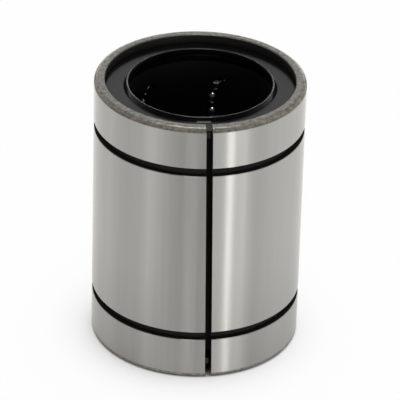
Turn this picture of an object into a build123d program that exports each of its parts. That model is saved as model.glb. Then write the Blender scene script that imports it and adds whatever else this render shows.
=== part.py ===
from build123d import *
import math
import os

# A linear ball bushing with a slit, clearance-adjustable outer cylinder and a seal at each end.
# It stands on its lower end face. The shaft's axis is Z and the slit faces -Y. Sizes are in mm.

# Sizes that the bushing is known by
shaft_diameter = 35.0
bushing_length = 70.0
ball_diameter = 3.969
circuit_count = 6

# Ball circuits
lane_angle = 24.0
return_rise = 1.6
ball_gap = 0.02
slit_to_load_lane = 16.5
# How far the balls have gone round, in ball pitches: the first circuit's, and what each next adds
ball_start = 0.14
ball_start_step = 0.26

# Outer cylinder
wall_under_groove = 1.35
ring_groove_depth = 1.5
ring_groove_width = 2.07
ring_groove_inset = 10.95
groove_edge_break = 0.12
slit_width = 1.6
# The slit's turn off the axis, in degrees: its upper end lies nearer to -X
slit_lean = 1.1
end_rounding = 1.05
raceway_clearance = 0.02
return_clearance = 0.07
relief_clearance = 0.08
relief_overrun = 0.3
mouth_chamfer = 0.3

# End seals
seal_recess = 2.1
seal_thickness = 1.9
seal_seat_step = 0.25
seat_gap = 0.05
seal_edge_chamfer = 0.3
lip_gap = 0.03
lip_land = 0.5
lip_height = 1.14
lip_flare = 0.38
lip_slope = 0.96
lip_rounding = 0.22
under_lip_flare = 0.7
index_bar_length = 3.4
index_bar_width = 0.76
index_bar_height = 0.27
index_bar_slope = 0.35
index_bar_offset = -1.3
# How far the bar's outer side stands off the lip's foot
index_bar_reach = 0.26

# Inner retaining rings
inner_ring_thickness = 1.0
inner_ring_width = 3.2
inner_ring_grip = 0.6
inner_ring_gap = 6.0
inner_ring_thinning = 0.8
lug_hole_radius = 1.0

# Ball retainer
retainer_gap = 0.14
retainer_bore_gap = 0.25
channel_clearance = 0.05
end_wall = 2.25
spigot_height = 0.6
spigot_gap = 0.35

# How far a cutting shape reaches past the surface that it cuts
overshoot = 1.0

# Radii that follow from the shaft and the balls
shaft_radius = shaft_diameter / 2
ball_radius = ball_diameter / 2
load_radius = shaft_radius + ball_radius
return_radius = load_radius + return_rise
raceway_radius = load_radius + ball_radius + raceway_clearance
relief_radius = return_radius + ball_radius + relief_clearance
seal_seat_radius = relief_radius + seal_seat_step
ring_groove_radius = relief_radius + wall_under_groove
outer_radius = ring_groove_radius + ring_groove_depth
retainer_radius = raceway_radius - retainer_gap
retainer_bore_radius = shaft_radius + retainer_bore_gap
inner_ring_outer_radius = seal_seat_radius + inner_ring_grip
inner_ring_inner_radius = inner_ring_outer_radius - inner_ring_width

# Depths below an end face
seal_bottom = seal_recess + seal_thickness
snap_groove_top = seal_bottom + seat_gap
ring_top = snap_groove_top + seat_gap
ring_bottom = ring_top + inner_ring_thickness
snap_groove_bottom = ring_bottom + seat_gap
retainer_shoulder = snap_groove_bottom

# The ball track: two straight lanes that lie in one plane, joined by half turns
lane_span = math.sqrt(
    load_radius**2 + return_radius**2
    - 2 * load_radius * return_radius * math.cos(math.radians(lane_angle))
)
turn_radius = lane_span / 2
channel_radius = ball_radius + channel_clearance
lane_end_depth = retainer_shoulder + end_wall + channel_radius + turn_radius
lane_length = bushing_length - 2 * lane_end_depth
track_length = 2 * lane_length + 2 * math.pi * turn_radius
closest_pitch = 2 * turn_radius * math.asin((ball_diameter + ball_gap) / (2 * turn_radius))
balls_per_circuit = math.floor(track_length / closest_pitch)
ball_pitch = track_length / balls_per_circuit


def turned(outline):
    """A ring turned about Z from an outline of (radius, depth below the upper end face)."""
    corners = [(radius, bushing_length - depth) for radius, depth in outline]
    return revolve(Plane.XZ * make_face(Polyline(*corners, close=True)), Axis.Z)


def tube(outer, inner, top_depth, bottom_depth):
    return turned([(inner, top_depth), (outer, top_depth), (outer, bottom_depth), (inner, bottom_depth)])


def end_for_end(shape):
    """The same shape at the other end, turned over about the line from the slit to the back."""
    middle = Pos(0, 0, bushing_length / 2)
    return middle * Rot(0, 180, 0) * middle.inverse() * shape


def lane_point(radius, angle):
    turn = math.radians(angle)
    return Vector(radius * math.cos(turn), radius * math.sin(turn), bushing_length / 2)


def circuit_plane(index):
    """The plane of one circuit: x up the load lane, y across to the return lane, z outwards."""
    load_angle = -90 - slit_to_load_lane + index * 360 / circuit_count
    load_point = lane_point(load_radius, load_angle)
    return_point = lane_point(return_radius, load_angle - lane_angle)
    across = (return_point - load_point).normalized()
    return Plane(origin=load_point, x_dir=(0, 0, 1), z_dir=Vector(0, 0, 1).cross(across))


def track_line():
    half = lane_length / 2
    load_lane = Line((-half, 0), (half, 0))
    upper_turn = ThreePointArc((half, 0), (half + turn_radius, turn_radius), (half, lane_span))
    return_lane = Line((half, lane_span), (-half, lane_span))
    lower_turn = ThreePointArc((-half, lane_span), (-half - turn_radius, turn_radius), (-half, 0))
    return Wire([load_lane.edge(), upper_turn.edge(), return_lane.edge(), lower_turn.edge()])


def track_place(distance):
    """The centre of a ball that has gone this far round the track, and the part it is in."""
    half = lane_length / 2
    turn_length = math.pi * turn_radius
    distance = distance % track_length
    if distance <= lane_length:
        return (distance - half, 0), "load"
    distance -= lane_length
    if distance < turn_length:
        angle = distance / turn_radius
        return (half + turn_radius * math.sin(angle), turn_radius * (1 - math.cos(angle))), "turn"
    distance -= turn_length
    if distance <= lane_length:
        return (half - distance, lane_span), "return"
    angle = (distance - lane_length) / turn_radius
    return (-half - turn_radius * math.sin(angle), turn_radius * (1 + math.cos(angle))), "turn"


def make_outer_cylinder():
    sleeve = tube(outer_radius, raceway_radius, 0, bushing_length)
    outer_edges = sleeve.edges().filter_by(GeomType.CIRCLE).group_by(SortBy.RADIUS)[-1]
    sleeve = fillet(outer_edges, end_rounding)

    lane_mouth = lane_end_depth + relief_overrun
    ramp = relief_radius - raceway_radius
    snap_groove_radius = inner_ring_outer_radius + seat_gap
    end_bore = turned([
        (0, -overshoot),
        (seal_seat_radius + mouth_chamfer + overshoot, -overshoot),
        (seal_seat_radius, mouth_chamfer),
        (seal_seat_radius, snap_groove_top),
        (snap_groove_radius, snap_groove_top),
        (snap_groove_radius, snap_groove_bottom),
        (relief_radius, snap_groove_bottom),
        (relief_radius, lane_mouth),
        (raceway_radius - overshoot, lane_mouth + ramp + overshoot),
        (0, lane_mouth + ramp + overshoot),
    ])
    groove_end = ring_groove_inset + ring_groove_width
    ring_groove = turned([
        (ring_groove_radius, ring_groove_inset),
        (outer_radius - groove_edge_break, ring_groove_inset),
        (outer_radius + overshoot, ring_groove_inset - groove_edge_break - overshoot),
        (outer_radius + overshoot, groove_end + groove_edge_break + overshoot),
        (outer_radius - groove_edge_break, groove_end),
        (ring_groove_radius, groove_end),
    ])
    for cutter in (end_bore, ring_groove):
        sleeve -= cutter
        sleeve -= end_for_end(cutter)

    return_groove = Cylinder(ball_radius + return_clearance, lane_length)
    for index in range(circuit_count):
        sleeve -= circuit_plane(index).location * Pos(0, lane_span, 0) * Rot(0, 90, 0) * return_groove

    slit_reach = outer_radius + overshoot
    slit_height = bushing_length + 2 * overshoot
    slit_place = Pos(0, -slit_reach / 2, bushing_length / 2) * Rot(0, -slit_lean, 0)
    return sleeve - slit_place * Box(slit_width, slit_reach, slit_height)


def make_retainer():
    cage = tube(retainer_radius, retainer_bore_radius, retainer_shoulder, bushing_length - retainer_shoulder)
    spigot_radius = inner_ring_inner_radius - spigot_gap
    spigot = tube(spigot_radius, retainer_bore_radius, retainer_shoulder - spigot_height, retainer_shoulder)
    cage += spigot
    cage += end_for_end(spigot)

    # The channel is round below the balls' centres and open outwards above them
    opening_height = retainer_radius - retainer_bore_radius
    section = Circle(channel_radius) + Pos(0, opening_height / 2) * Rectangle(2 * channel_radius, opening_height)
    start = Plane(origin=(-lane_length / 2, 0, 0), x_dir=(0, 1, 0), z_dir=(1, 0, 0))
    channel = sweep(start * section, path=track_line())
    for index in range(circuit_count):
        cage -= circuit_plane(index).location * channel
    return cage


def make_inner_ring():
    """An open ring, thinnest at its gap, with a plier hole in a lug at each end."""
    bore_radius = inner_ring_inner_radius + inner_ring_thinning / 2
    ring = Circle(inner_ring_outer_radius) - Pos(0, -inner_ring_thinning / 2) * Circle(bore_radius)
    ring -= Pos(0, -inner_ring_outer_radius) * Rectangle(inner_ring_gap, inner_ring_outer_radius)
    lug_radius = inner_ring_width / 2
    lug_reach = inner_ring_outer_radius - lug_radius
    lug_angle = math.degrees(math.asin((inner_ring_gap / 2 + lug_radius) / lug_reach))
    for side in (-1, 1):
        lug_place = Rot(0, 0, side * lug_angle) * Pos(0, -lug_reach)
        ring += lug_place * Circle(lug_radius)
        ring -= lug_place * Circle(lug_hole_radius)
    return Pos(0, 0, bushing_length - ring_bottom) * extrude(ring, inner_ring_thickness)


def make_seal():
    rim = seal_seat_radius - seat_gap
    lip_radius = shaft_radius + lip_gap
    lip_crest_radius = shaft_radius + lip_flare
    lip_foot_radius = lip_crest_radius + lip_slope
    under_lip_radius = shaft_radius + under_lip_flare
    seal = turned([
        (lip_radius, seal_recess - lip_land),
        (lip_crest_radius, seal_recess - lip_height),
        (lip_foot_radius, seal_recess),
        (rim - seal_edge_chamfer, seal_recess),
        (rim, seal_recess + seal_edge_chamfer),
        (rim, seal_bottom),
        (under_lip_radius, seal_bottom),
        (under_lip_radius, seal_bottom - lip_land),
        (lip_radius, seal_recess),
    ])
    crest = seal.edges().filter_by(GeomType.CIRCLE).group_by(Axis.Z)[-1]
    seal = fillet(crest, lip_rounding)
    # A short moulded bar with a sloped outer side lies along the foot of the lip, beside the slit
    section = Polyline(
        (index_bar_width, -index_bar_height),
        (index_bar_width, index_bar_height),
        (index_bar_slope, index_bar_height),
        (0, 0),
        (0, -index_bar_height),
        close=True,
    )
    bar = extrude(Plane.YZ * make_face(section), index_bar_length)
    bar_start = index_bar_offset - index_bar_length / 2
    bar_radius = lip_foot_radius + index_bar_reach
    return seal + Pos(bar_start, -bar_radius, bushing_length - seal_recess) * bar


def make_balls(index):
    """The balls of one circuit, sorted by the part of the track that they are in."""
    groups = {"load": [], "return": [], "turn": []}
    plane = circuit_plane(index)
    for count in range(balls_per_circuit):
        place, part = track_place((count + ball_start + ball_start_step * index) * ball_pitch)
        centre = plane.from_local_coords((*place, 0))
        groups[part].append(Pos(*centre) * Sphere(ball_radius))
    return groups


def save(name, solids):
    export_step(Compound(label=name, children=list(solids)), f"parts/{name}.step")


def main():
    os.makedirs("parts", exist_ok=True)
    save("outer_cylinder", make_outer_cylinder().solids())
    save("ball_retainer", make_retainer().solids())
    for name, shape in (("retaining_ring", make_inner_ring()), ("seal", make_seal())):
        save(f"upper_{name}", shape.solids())
        save(f"lower_{name}", end_for_end(shape).solids())
    for index in range(circuit_count):
        for part, balls in make_balls(index).items():
            save(f"{part}_balls_{index + 1}", balls)


main()
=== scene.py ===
import math

import bpy
from mathutils import Matrix, Vector


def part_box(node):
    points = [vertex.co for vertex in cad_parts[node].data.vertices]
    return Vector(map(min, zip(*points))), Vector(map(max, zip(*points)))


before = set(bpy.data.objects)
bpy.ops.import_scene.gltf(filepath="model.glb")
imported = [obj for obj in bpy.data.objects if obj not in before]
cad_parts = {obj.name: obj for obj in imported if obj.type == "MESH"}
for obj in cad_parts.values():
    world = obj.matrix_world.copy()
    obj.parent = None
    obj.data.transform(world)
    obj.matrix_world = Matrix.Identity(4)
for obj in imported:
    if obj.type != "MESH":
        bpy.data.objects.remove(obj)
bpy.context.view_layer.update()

MM = 0.001

# The photograph's camera, found from the sleeve's edges in the picture
PICTURE_PX = 400
FOCAL_PX = 3402.0
CAMERA_DISTANCE = 0.8469
CAMERA_ELEVATION = math.radians(29.76)
CAMERA_ROLL = math.radians(1.58)
SLIT_TO_CAMERA = math.radians(7.1)
MIDDLE_PX = Vector((-2.8, 2.6))
SENSOR = 36.0

# The sleeve's size, from the frame
_, sleeve_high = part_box("outer_cylinder")
OUTER_RADIUS = sleeve_high.x
LENGTH = sleeve_high.z
# Sizes of the CAD model that its boxes don't give
END_ROUNDING = 1.05 * MM
MOUTH_RADIUS = 23.7 * MM
LIP_CREST_RADIUS = 17.88 * MM

# Tints of the finishes
PLAIN = (1.0, 1.0, 1.0)
GROUND_TINT = (1.0, 0.985, 0.935)
END_TINT = (1.0, 0.965, 0.88)
SCALE_TINT = (1.0, 0.94, 0.82)
RUBBER_TINT = (0.96, 1.0, 1.0)

# Grey levels of the sleeve's finishes, for the darkest and the lightest of their grain
GROUND_UPPER = (0.58, 0.65)
# The lower levels are painted shade, standing for the darker floor that the sleeve reflects near its
# foot
GROUND_LOWER_SHADED = (0.44, 0.49)
END_FLAT = (0.13, 0.35)
END_BURNISHED = (0.13, 0.36)
END_FOOT = (0.28, 0.56)
# Painted shade on the end that the part stands on
BASE_PAINTED_SHADE = 0.03
DARK_SCALE = (0.018, 0.05)

# Grain of the finishes: cells in a metre, detail and roughness of the noise
STREAKS = (900.0, 3.0, 0.6)
STREAK_STRETCH = (1.0, 1.0, 0.02)
MOTTLE = (2600.0, 4.0, 0.7)
BLOTCH = (900.0, 2.0, 0.5)
TURNING = (3000.0, 3.0, 0.6)
RUBBER_GRAIN = (2600.0, 3.0, 0.6)
RUBBER_PATCHES = (160.0, 2.0, 0.5)
RESIN_GRAIN = (1500.0, 3.0, 0.5)
BALL_HAZE = (900.0, 2.0, 0.5)
RING_GRAIN = (1200.0, 3.0, 0.6)

# The mottle's share in the grain of the ends, beside the blotches, and the range taken from both
MOTTLE_SHARE = 0.6
GRAIN_RANGE = (0.34, 0.66)

# The ground outside begins this far from an end
GROUND_START = 1.25 * MM
# Soft edges of the finishes: where each begins and is full, from its limit
OUTSIDE_EDGE = (-0.14 * MM, -0.08 * MM)
GROUND_EDGE = (-0.08 * MM, 0.04 * MM)
PAST_END_EDGE = (0.1 * MM, 0.2 * MM)
END_RING_EDGE = (-0.25 * MM, -0.15 * MM)
LIP_EDGE = (-0.16 * MM, -0.02 * MM)
# Painted shade: the ground steel darkens from the upper of these heights to the lower
GROUND_PAINTED_SHADE = (-8.0 * MM, 36.0 * MM)
# The burnished crown, with its soft edge, and the foot, measured round the end's rounding
BURNISHED = (0.1 * MM, 0.6 * MM, 0.08 * MM)
ROUNDING_FOOT = (0.58 * MM, 0.9 * MM)
# Painted shade: the end that the part stands on is darker over this height, where it meets the floor
BASE_SHADE_HEIGHTS = (-0.1 * MM, 0.9 * MM)

# The studio's soft panels, low round the table: degrees right of the camera, half width, strength.
# They come from a scratch script's fit to the brightness round the sleeve in the photograph.
PANELS = (
    (180.0, 39.0, 7.7),
    (91.0, 31.0, 1.1),
    (45.5, 9.6, 4.0),
    (33.3, 4.6, 9.2),
    (23.3, 12.0, 3.6),
    (-33.8, 23.6, 1.7),
    (-49.2, 6.3, 0.8),
    (-102.6, 10.7, 0.5),
)
# How high the panels reach, as the height of a direction of length 1
PANEL_FADE = (0.05, 0.45)
ROOM_LEVEL = 0.1
# The room above the panels is brighter behind the part than on the camera's side
OVERHEAD_NEAR = 0.06
OVERHEAD_FAR = 0.7
OVERHEAD_FADE = (-0.3, 0.85)
# Lamps high over the table: degrees right of the camera, degrees up, half width, edge, strength
LAMPS = (
    (-10.0, 71.0, 3.0, 6.5, 14.0),
    (30.0, 75.0, 2.5, 6.5, 5.5),
    (0.0, 98.0, 6.0, 14.0, 11.0),
)

FLOOR_SIZE = 6.0
PAPER = 0.9
# The share of its own white that the floor shows far from the part
GLOW_FAR = 0.97
# What the painted shadow takes from that share beside the part, how far it reaches and its shift to
# the left
SHADOW_DEPTH = 0.36
SHADOW_REACH = 4.7 * MM
SHADOW_LEFT = 1.7 * MM
# The share is none within this radius and rises over this edge, a painted contact line over the
# paper's own shade
CONTACT_RADIUS = 25.2 * MM
CONTACT_EDGE = 1.1 * MM
# Painted shade: the table is darker under the part and inside its bore
UNDER_RADIUS = 22.0 * MM
UNDER_PAINTED_SHADE = 0.3
# Painted shade on the table towards the camera, which only reflections see: cosine of the angle off
# it
DIM_FROM = (0.6, 1.0)
DIM_RADIUS = (30.0 * MM, 58.0 * MM)
DIM_SHARE = 0.4


class Nodes:
    """A node tree under construction: each call adds nodes and returns an output."""

    def __init__(self, tree):
        self.tree = tree
        tree.nodes.clear()

    def add(self, kind, inputs=None, output=0, **settings):
        node = self.tree.nodes.new(kind)
        for name, value in settings.items():
            setattr(node, name, value)
        for name, value in (inputs or {}).items():
            socket = node.inputs[name]
            if isinstance(value, bpy.types.NodeSocket):
                self.tree.links.new(value, socket)
            else:
                socket.default_value = value
        return node.outputs[output]

    def math(self, operation, first, second=0.0, clamp=False):
        return self.add(
            "ShaderNodeMath", {0: first, 1: second}, operation=operation, use_clamp=clamp)

    def plus(self, first, second):
        return self.math("ADD", first, second)

    def minus(self, first, second, clamp=False):
        return self.math("SUBTRACT", first, second, clamp)

    def times(self, first, second):
        return self.math("MULTIPLY", first, second)

    def larger(self, first, second):
        return self.math("MAXIMUM", first, second)

    def smooth(self, value, low, high):
        """0 below low and 1 above high."""
        return self.add(
            "ShaderNodeMapRange", {"Value": value, "From Min": low, "From Max": high},
            interpolation_type="SMOOTHSTEP")

    def past(self, value, limit, edge):
        """0 before the limit and 1 past it, with a soft edge."""
        begins, full = edge
        return self.smooth(value, limit + begins, limit + full)

    def between(self, value, low, high, edge):
        """1 from low to high and 0 outside, with soft edges."""
        rising = self.smooth(value, low - edge, low + edge)
        falling = self.smooth(value, high - edge, high + edge)
        return self.minus(rising, falling, clamp=True)

    def scale(self, value, low, high):
        """Takes 0 to 1 onto low to high."""
        return self.add(
            "ShaderNodeMapRange", {"Value": value, "To Min": low, "To Max": high}, clamp=False)

    def mix(self, factor, first, second):
        return self.add(
            "ShaderNodeMix", {0: factor, 6: first, 7: second}, output=2, data_type="RGBA")

    def greys(self, factor, levels, tint=PLAIN):
        """Takes 0 to 1 onto a pair of grey levels."""
        first, second = levels
        return self.mix(factor, grey(first, tint), grey(second, tint))

    def noise(self, place, scale, detail, roughness):
        return self.add(
            "ShaderNodeTexNoise",
            {"Vector": place, "Scale": scale, "Detail": detail, "Roughness": roughness})

    def vector(self, operation, first, second, output=0):
        return self.add(
            "ShaderNodeVectorMath", {0: first, 1: second}, output=output, operation=operation)

    def along(self, direction, axis):
        return self.vector("DOT_PRODUCT", direction, axis, output="Value")

    def split(self, vector):
        node = self.tree.nodes.new("ShaderNodeSeparateXYZ")
        self.tree.links.new(vector, node.inputs[0])
        return node.outputs

    def place(self):
        return self.add("ShaderNodeNewGeometry", output="Position")

    def radius_and_height(self, place):
        x, y, height = self.split(place)
        radius = self.math("SQRT", self.plus(self.times(x, x), self.times(y, y)))
        return radius, height

    def bump(self, height, strength, distance):
        return self.add(
            "ShaderNodeBump", {"Height": height, "Strength": strength, "Distance": distance})

    def rays(self):
        return self.tree.nodes.new("ShaderNodeLightPath").outputs

    def finish(self, shader, kind="ShaderNodeOutputMaterial"):
        output = self.tree.nodes.new(kind)
        self.tree.links.new(shader, output.inputs["Surface"])


def grey(value, tint=PLAIN):
    return tuple(value * part for part in tint) + (1.0,)


def new_material(name):
    material = bpy.data.materials.new(name)
    material.use_nodes = True
    return material, Nodes(material.node_tree)


def dress(material, *names):
    for name in names:
        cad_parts[name].material_slots[0].material = material


def ground_steel(n, place, height):
    """Fine streaks along the axis, a shine that is wide along it and narrow round the part, and
    painted shade towards the bottom.
    """
    streaks = n.noise(n.vector("MULTIPLY", place, STREAK_STRETCH), *STREAKS)
    upper = n.greys(streaks, GROUND_UPPER, GROUND_TINT)
    lower = n.greys(streaks, GROUND_LOWER_SHADED, GROUND_TINT)
    return n.add("ShaderNodeBsdfAnisotropic", {
        # Painted shade: darker towards the bottom
        "Color": n.mix(n.smooth(height, *GROUND_PAINTED_SHADE), lower, upper),
        "Roughness": 0.3,
        "Anisotropy": 0.82,
        "Tangent": n.add("ShaderNodeTangent", direction_type="RADIAL", axis="Z"),
        "Normal": n.bump(streaks, strength=0.05, distance=0.1 * MM),
    })


def unground_steel(n, place, radius, height, from_end):
    """Mottled grey ends, and dark turned walls in the grooves and inside."""
    at_end = n.minus(1.0, n.past(from_end, GROUND_START, PAST_END_EDGE))
    end_ring = n.times(at_end, n.past(radius, MOUTH_RADIUS, END_RING_EDGE))
    # How far a place lies round the rounding, outwards and down together
    round_way = n.plus(n.minus(radius, OUTER_RADIUS - END_ROUNDING), from_end)
    burnished = n.between(round_way, *BURNISHED)
    foot = n.smooth(round_way, *ROUNDING_FOOT)

    mottle = n.noise(place, *MOTTLE)
    blotch = n.noise(place, *BLOTCH)
    both = n.plus(n.times(mottle, MOTTLE_SHARE), n.times(blotch, 1.0 - MOTTLE_SHARE))
    grain = n.smooth(both, *GRAIN_RANGE)
    end_colour = n.greys(grain, END_FLAT, END_TINT)
    end_colour = n.mix(burnished, end_colour, n.greys(grain, END_BURNISHED, END_TINT))
    end_colour = n.mix(foot, end_colour, n.greys(grain, END_FOOT, SCALE_TINT))
    # Painted shade where the lower end meets the floor
    base_shade = n.smooth(height, *BASE_SHADE_HEIGHTS)
    end_colour = n.mix(base_shade, grey(BASE_PAINTED_SHADE, SCALE_TINT), end_colour)

    # Turning lines run round the axis
    turning_place = n.add("ShaderNodeCombineXYZ", {"X": radius, "Z": height})
    turning = n.noise(turning_place, *TURNING)
    return n.add("ShaderNodeBsdfPrincipled", {
        "Base Color": n.mix(end_ring, n.greys(turning, DARK_SCALE, SCALE_TINT), end_colour),
        "Metallic": n.scale(end_ring, 0.5, 1.0),
        "Specular Tint": grey(0.5),
        "Roughness": n.plus(n.scale(burnished, 0.46, 0.36), n.scale(foot, 0.0, 0.45)),
        "Normal": n.bump(n.plus(mottle, turning), strength=0.3, distance=0.06 * MM),
    })


def sleeve_steel():
    material, n = new_material("sleeve_steel")
    place = n.place()
    radius, height = n.radius_and_height(place)
    from_end = n.math("MINIMUM", height, n.minus(LENGTH, height))
    outside = n.past(radius, OUTER_RADIUS, OUTSIDE_EDGE)
    past_rounding = n.past(from_end, GROUND_START, GROUND_EDGE)
    n.finish(n.add("ShaderNodeMixShader", {
        0: n.times(outside, past_rounding),
        1: unground_steel(n, place, radius, height, from_end),
        2: ground_steel(n, place, height),
    }))
    return material


def seal_rubber():
    """Moulded rubber, duller inside the lip."""
    material, n = new_material("moulded_rubber")
    place = n.place()
    radius, _ = n.radius_and_height(place)
    outside_lip = n.past(radius, LIP_CREST_RADIUS, LIP_EDGE)
    grain = n.noise(place, *RUBBER_GRAIN)
    patches = n.noise(place, *RUBBER_PATCHES)
    n.finish(n.add("ShaderNodeBsdfPrincipled", {
        "Base Color": n.greys(patches, (0.002, 0.004), RUBBER_TINT),
        "Roughness": n.scale(grain, 0.13, 0.21),
        "Specular IOR Level": n.scale(outside_lip, 0.02, 0.38),
        "Normal": n.bump(grain, strength=0.15, distance=0.02 * MM),
    }))
    return material


def cage_resin():
    material, n = new_material("black_resin")
    grain = n.noise(n.place(), *RESIN_GRAIN)
    n.finish(n.add("ShaderNodeBsdfPrincipled", {
        "Base Color": n.greys(grain, (0.004, 0.009)),
        "Roughness": n.scale(grain, 0.5, 0.65),
        "Specular IOR Level": 0.25,
        "Normal": n.bump(grain, strength=0.1, distance=0.05 * MM),
    }))
    return material


def bare_steel(name, noise, levels, roughness):
    material, n = new_material(name)
    grain = n.noise(n.place(), *noise)
    n.finish(n.add("ShaderNodeBsdfPrincipled", {
        "Base Color": n.greys(grain, levels),
        "Metallic": 1.0,
        "Roughness": n.scale(grain, *roughness),
    }))
    return material


def dress_parts():
    ball_steel = bare_steel("polished_ball_steel", BALL_HAZE, (0.60, 0.68), (0.06, 0.14))
    ring_steel = bare_steel("blackened_spring_steel", RING_GRAIN, (0.03, 0.07), (0.35, 0.5))
    dress(sleeve_steel(), "outer_cylinder")
    dress(seal_rubber(), "upper_seal", "lower_seal")
    dress(cage_resin(), "ball_retainer")
    dress(ring_steel, "upper_retaining_ring", "lower_retaining_ring")
    dress(ball_steel, *(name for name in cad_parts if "_balls_" in name))


def studio_direction(azimuth, elevation):
    """The direction this far right of the camera and this far up, both in radians."""
    turn = azimuth - SLIT_TO_CAMERA
    return (
        math.sin(turn) * math.cos(elevation),
        -math.cos(turn) * math.cos(elevation),
        math.sin(elevation),
    )


def camera_axes():
    """Right, up and back of the photograph's camera."""
    back = Vector(studio_direction(0.0, CAMERA_ELEVATION))
    right = Vector((0, 0, 1)).cross(back).normalized()
    up = back.cross(right)
    roll = Matrix.Rotation(CAMERA_ROLL, 3, back)
    return roll @ right, roll @ up, back


def make_camera():
    right, up, back = camera_axes()
    middle = Vector((0, 0, LENGTH / 2))
    place = middle + back * CAMERA_DISTANCE
    # Aimed a little off the middle, which then lies at MIDDLE_PX from the picture's centre
    aim = middle - (right * MIDDLE_PX.x - up * MIDDLE_PX.y) * (CAMERA_DISTANCE / FOCAL_PX)
    back = (place - aim).normalized()
    right = (right - back * right.dot(back)).normalized()
    up = back.cross(right)
    data = bpy.data.cameras.new("photo_camera")
    data.sensor_width = SENSOR
    data.lens = FOCAL_PX / PICTURE_PX * SENSOR
    camera = bpy.data.objects.new("photo_camera", data)
    camera.matrix_world = Matrix.Translation(place) @ Matrix((right, up, back)).transposed().to_4x4()
    bpy.context.scene.collection.objects.link(camera)
    bpy.context.scene.camera = camera


def panel_level(n, x, y):
    """The panels' light in a direction, by its azimuth alone."""
    azimuth = n.math("DEGREES", n.math("ARCTAN2", x, n.times(y, -1.0)))
    azimuth = n.plus(azimuth, math.degrees(SLIT_TO_CAMERA))
    level = ROOM_LEVEL
    for centre, width, strength in PANELS:
        away = n.math("PINGPONG", n.minus(azimuth, centre), 180.0)
        ratio = n.math("DIVIDE", away, width)
        glow = n.math("EXPONENT", n.times(n.times(ratio, ratio), -1.0))
        level = n.plus(n.times(glow, strength), level)
    return level


def make_world():
    world = bpy.data.worlds.new("studio")
    world.use_nodes = True
    bpy.context.scene.world = world
    n = Nodes(world.node_tree)
    direction = n.add("ShaderNodeTexCoord", output="Generated")
    x, y, z = n.split(direction)
    low = n.minus(1.0, n.smooth(z, *PANEL_FADE))
    behind = n.smooth(n.along(direction, studio_direction(math.pi, 0.0)), *OVERHEAD_FADE)
    overhead = n.times(n.scale(behind, OVERHEAD_NEAR, OVERHEAD_FAR), n.minus(1.0, low))
    level = n.plus(n.times(panel_level(n, x, y), low), overhead)
    for side, elevation, core, edge, strength in LAMPS:
        middle = studio_direction(math.radians(side), math.radians(elevation))
        spot = n.smooth(
            n.along(direction, middle), math.cos(math.radians(edge)), math.cos(math.radians(core)))
        level = n.plus(n.times(spot, strength), level)
    # The camera sees plain white
    shown = n.add(
        "ShaderNodeMix", {0: n.rays()["Is Camera Ray"], 2: level, 3: 1.0}, data_type="FLOAT")
    n.finish(n.add("ShaderNodeBackground", {"Strength": shown}), "ShaderNodeOutputWorld")


def table_painted_shade(n, radius):
    """Painted shade on the table: 1 on the table, less out towards the camera."""
    outwards = n.vector("NORMALIZE", n.place(), (0.0, 0.0, 0.0))
    towards = n.smooth(n.along(outwards, studio_direction(0.0, 0.0)), *DIM_FROM)
    far = n.smooth(radius, *DIM_RADIUS)
    return n.minus(1.0, n.times(n.times(towards, far), DIM_SHARE))


def floor_white(n, radius):
    """The share of its own white that the floor shows, less in a painted shadow round the part."""
    moved = n.vector("ADD", n.place(), (SHADOW_LEFT, 0.0, 0.0))
    shadow_radius, _ = n.radius_and_height(moved)
    away = n.math("DIVIDE", n.minus(OUTER_RADIUS, shadow_radius), SHADOW_REACH)
    shadow = n.times(n.math("EXPONENT", away), SHADOW_DEPTH)
    clear = n.smooth(radius, CONTACT_RADIUS, CONTACT_RADIUS + CONTACT_EDGE)
    return n.times(n.minus(GLOW_FAR, shadow, clamp=True), clear)


def make_floor():
    bpy.ops.mesh.primitive_plane_add(size=FLOOR_SIZE)
    floor = bpy.context.object
    floor.name = "floor"
    material, n = new_material("studio_floor")
    rays = n.rays()
    seen = n.larger(rays["Is Camera Ray"], rays["Is Glossy Ray"])
    seen = n.larger(seen, rays["Is Transmission Ray"])
    radius, _ = n.radius_and_height(n.place())
    # Painted shade towards the camera, left out of the camera's own view
    painted_dim = n.larger(table_painted_shade(n, radius), rays["Is Camera Ray"])
    # Painted shade on the paper under the part and inside its bore
    paper_with_painted_shade = n.greys(n.smooth(radius, UNDER_RADIUS, CONTACT_RADIUS), (UNDER_PAINTED_SHADE, PAPER))
    n.finish(n.add("ShaderNodeMixShader", {
        0: n.times(floor_white(n, radius), seen),
        1: n.add("ShaderNodeBsdfDiffuse", {"Color": n.mix(painted_dim, grey(0.0), paper_with_painted_shade)}),
        2: n.add("ShaderNodeEmission", {"Strength": painted_dim}),
    }))
    floor.data.materials.append(material)


bpy.context.scene.view_settings.view_transform = "Standard"
dress_parts()
make_world()
make_floor()
make_camera()
